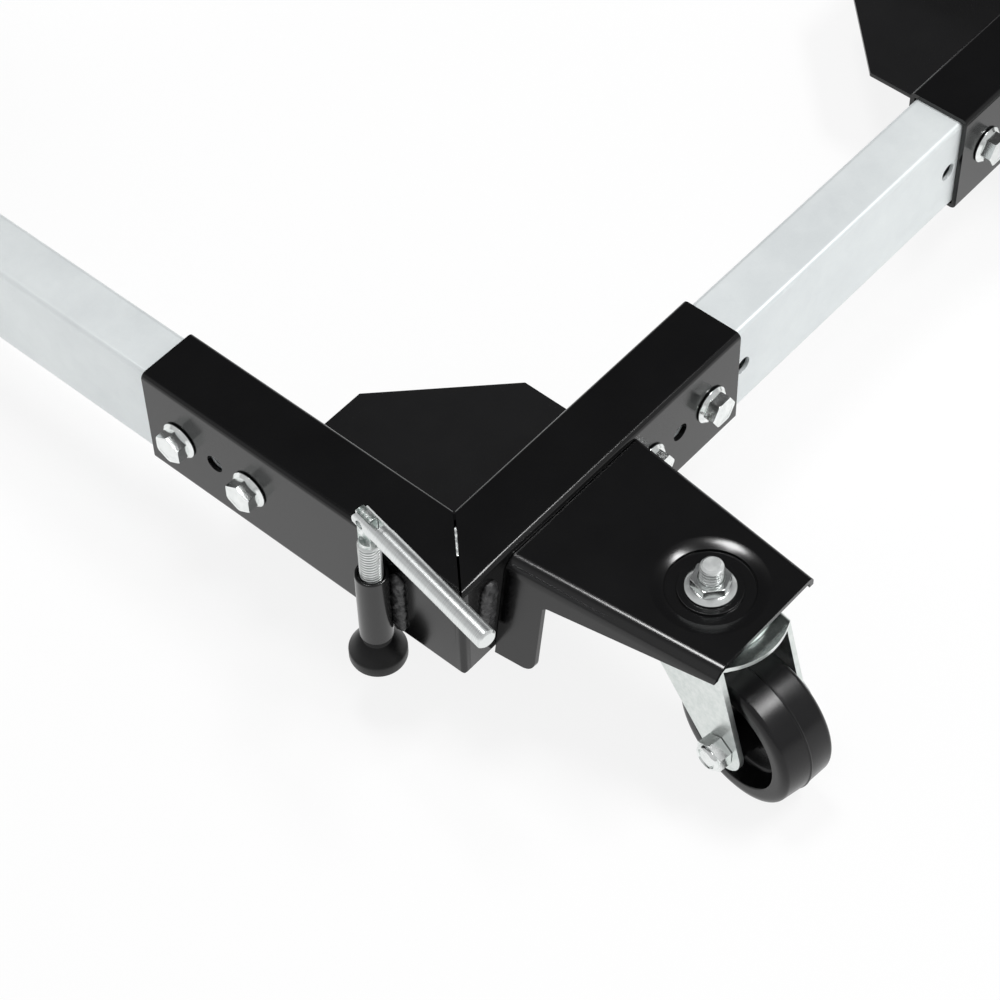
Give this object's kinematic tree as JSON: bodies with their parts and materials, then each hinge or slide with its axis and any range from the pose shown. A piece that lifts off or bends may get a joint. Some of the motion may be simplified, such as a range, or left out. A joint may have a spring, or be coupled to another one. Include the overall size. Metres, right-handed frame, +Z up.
{
  "type": "mobile machine base",
  "caption": "Adjustable mobile base for a workshop machine: mitred black corner sleeves on zinc telescoping rails, with swivel casters on arms and lever-turned screw levellers.",
  "frame": {"origin": "centre of the base on the floor under its wheels", "axes": "+Z up, +X along the front and rear rails, +Y along the side rails from front to rear"},
  "size_m": [0.6954, 0.9624, 0.1524],
  "materials": {
    "black_paint": "semi-gloss black paint",
    "zinc_rail": "pale bluish zinc plating",
    "zinc_hardware": "bright zinc plating",
    "black_rubber": "satin moulded rubber",
    "black_wheel": "glossy hard moulded wheel"
  },
  "bodies": {
    "frame": {"front_rail": "zinc_rail", "rear_rail": "zinc_rail", "left_rail": "zinc_rail", "right_rail": "zinc_rail", "front_left_corner_bracket": "black_paint", "front_left_caster_arm": "black_paint", "front_left_caster_stem": "zinc_hardware", "front_left_stem_nut": "zinc_hardware", "front_left_end_rail_bolt_1": "zinc_hardware", "front_left_end_rail_bolt_2": "zinc_hardware", "front_left_side_rail_bolt_1": "zinc_hardware", "front_left_side_rail_bolt_2": "zinc_hardware", "front_right_corner_bracket": "black_paint", "front_right_caster_arm": "black_paint", "front_right_caster_stem": "zinc_hardware", "front_right_stem_nut": "zinc_hardware", "front_right_end_rail_bolt_1": "zinc_hardware", "front_right_end_rail_bolt_2": "zinc_hardware", "front_right_side_rail_bolt_1": "zinc_hardware", "front_right_side_rail_bolt_2": "zinc_hardware", "rear_left_corner_bracket": "black_paint", "rear_left_caster_arm": "black_paint", "rear_left_caster_stem": "zinc_hardware", "rear_left_stem_nut": "zinc_hardware", "rear_left_end_rail_bolt_1": "zinc_hardware", "rear_left_end_rail_bolt_2": "zinc_hardware", "rear_left_side_rail_bolt_1": "zinc_hardware", "rear_left_side_rail_bolt_2": "zinc_hardware", "rear_right_corner_bracket": "black_paint", "rear_right_caster_arm": "black_paint", "rear_right_caster_stem": "zinc_hardware", "rear_right_stem_nut": "zinc_hardware", "rear_right_end_rail_bolt_1": "zinc_hardware", "rear_right_end_rail_bolt_2": "zinc_hardware", "rear_right_side_rail_bolt_1": "zinc_hardware", "rear_right_side_rail_bolt_2": "zinc_hardware"},
    "front_left_caster": {"front_left_caster_fork": "zinc_hardware", "front_left_axle_bolt": "zinc_hardware"},
    "front_left_wheel": {"front_left_caster_wheel": "black_wheel"},
    "front_left_foot": {"front_left_leveller_foot": "black_rubber"},
    "front_left_screw": {"front_left_leveller_screw": "zinc_hardware"},
    "front_left_lever": {"front_left_leveller_lever": "zinc_hardware"},
    "front_right_caster": {"front_right_caster_fork": "zinc_hardware", "front_right_axle_bolt": "zinc_hardware"},
    "front_right_wheel": {"front_right_caster_wheel": "black_wheel"},
    "front_right_foot": {"front_right_leveller_foot": "black_rubber"},
    "front_right_screw": {"front_right_leveller_screw": "zinc_hardware"},
    "front_right_lever": {"front_right_leveller_lever": "zinc_hardware"},
    "rear_left_caster": {"rear_left_caster_fork": "zinc_hardware", "rear_left_axle_bolt": "zinc_hardware"},
    "rear_left_wheel": {"rear_left_caster_wheel": "black_wheel"},
    "rear_left_foot": {"rear_left_leveller_foot": "black_rubber"},
    "rear_left_screw": {"rear_left_leveller_screw": "zinc_hardware"},
    "rear_left_lever": {"rear_left_leveller_lever": "zinc_hardware"},
    "rear_right_caster": {"rear_right_caster_fork": "zinc_hardware", "rear_right_axle_bolt": "zinc_hardware"},
    "rear_right_wheel": {"rear_right_caster_wheel": "black_wheel"},
    "rear_right_foot": {"rear_right_leveller_foot": "black_rubber"},
    "rear_right_screw": {"rear_right_leveller_screw": "zinc_hardware"},
    "rear_right_lever": {"rear_right_leveller_lever": "zinc_hardware"}
  },
  "joints": [
    {"name": "front_left_swivel", "type": "hinge", "parent": "frame", "child": "front_left_caster", "pos_m": [-0.2325, -0.403, 0.1], "axis": [0, 0, 1], "continuous": true},
    {"name": "front_left_wheel_spin", "type": "hinge", "parent": "front_left_caster", "child": "front_left_wheel", "pos_m": [-0.23816, -0.43956, 0.04], "axis": [0.9882, -0.153, 0], "continuous": true},
    {"name": "front_left_leveller_lift", "type": "slide", "parent": "frame", "child": "front_left_foot", "axis": [0, 0, -1], "range_m": [0, 0.036]},
    {"name": "front_left_leveller_turn", "type": "hinge", "parent": "front_left_foot", "child": "front_left_screw", "pos_m": [-0.32645, -0.2665, 0.1469], "axis": [0, 0, -1], "range_deg": [0, 160]},
    {"name": "front_left_lever_fold", "type": "hinge", "parent": "front_left_screw", "child": "front_left_lever", "pos_m": [-0.32645, -0.2665, 0.1469], "axis": [-0.9848, 0.1736, 0], "range_deg": [0, 90]},
    {"name": "front_right_swivel", "type": "hinge", "parent": "frame", "child": "front_right_caster", "pos_m": [0.2325, -0.403, 0.1], "axis": [0, 0, 1], "continuous": true},
    {"name": "front_right_wheel_spin", "type": "hinge", "parent": "front_right_caster", "child": "front_right_wheel", "pos_m": [0.23816, -0.43956, 0.04], "axis": [0.9882, 0.153, 0], "continuous": true},
    {"name": "front_right_leveller_lift", "type": "slide", "parent": "frame", "child": "front_right_foot", "axis": [0, 0, -1], "range_m": [0, 0.036]},
    {"name": "front_right_leveller_turn", "type": "hinge", "parent": "front_right_foot", "child": "front_right_screw", "pos_m": [0.32645, -0.2665, 0.1469], "axis": [0, 0, 1], "range_deg": [0, 160]},
    {"name": "front_right_lever_fold", "type": "hinge", "parent": "front_right_screw", "child": "front_right_lever", "pos_m": [0.32645, -0.2665, 0.1469], "axis": [-0.9848, -0.1736, 0], "range_deg": [0, 90]},
    {"name": "rear_left_swivel", "type": "hinge", "parent": "frame", "child": "rear_left_caster", "pos_m": [-0.2325, 0.403, 0.1], "axis": [0, 0, 1], "continuous": true},
    {"name": "rear_left_wheel_spin", "type": "hinge", "parent": "rear_left_caster", "child": "rear_left_wheel", "pos_m": [-0.23816, 0.43956, 0.04], "axis": [-0.9882, -0.153, 0], "continuous": true},
    {"name": "rear_left_leveller_lift", "type": "slide", "parent": "frame", "child": "rear_left_foot", "axis": [0, 0, -1], "range_m": [0, 0.036]},
    {"name": "rear_left_leveller_turn", "type": "hinge", "parent": "rear_left_foot", "child": "rear_left_screw", "pos_m": [-0.32645, 0.2665, 0.1469], "axis": [0, 0, 1], "range_deg": [0, 160]},
    {"name": "rear_left_lever_fold", "type": "hinge", "parent": "rear_left_screw", "child": "rear_left_lever", "pos_m": [-0.32645, 0.2665, 0.1469], "axis": [0.9848, 0.1736, 0], "range_deg": [0, 90]},
    {"name": "rear_right_swivel", "type": "hinge", "parent": "frame", "child": "rear_right_caster", "pos_m": [0.2325, 0.403, 0.1], "axis": [0, 0, 1], "continuous": true},
    {"name": "rear_right_wheel_spin", "type": "hinge", "parent": "rear_right_caster", "child": "rear_right_wheel", "pos_m": [0.23816, 0.43956, 0.04], "axis": [-0.9882, 0.153, 0], "continuous": true},
    {"name": "rear_right_leveller_lift", "type": "slide", "parent": "frame", "child": "rear_right_foot", "axis": [0, 0, -1], "range_m": [0, 0.036]},
    {"name": "rear_right_leveller_turn", "type": "hinge", "parent": "rear_right_foot", "child": "rear_right_screw", "pos_m": [0.32645, 0.2665, 0.1469], "axis": [0, 0, -1], "range_deg": [0, 160]},
    {"name": "rear_right_lever_fold", "type": "hinge", "parent": "rear_right_screw", "child": "rear_right_lever", "pos_m": [0.32645, 0.2665, 0.1469], "axis": [0.9848, -0.1736, 0], "range_deg": [0, 90]}
  ]
}
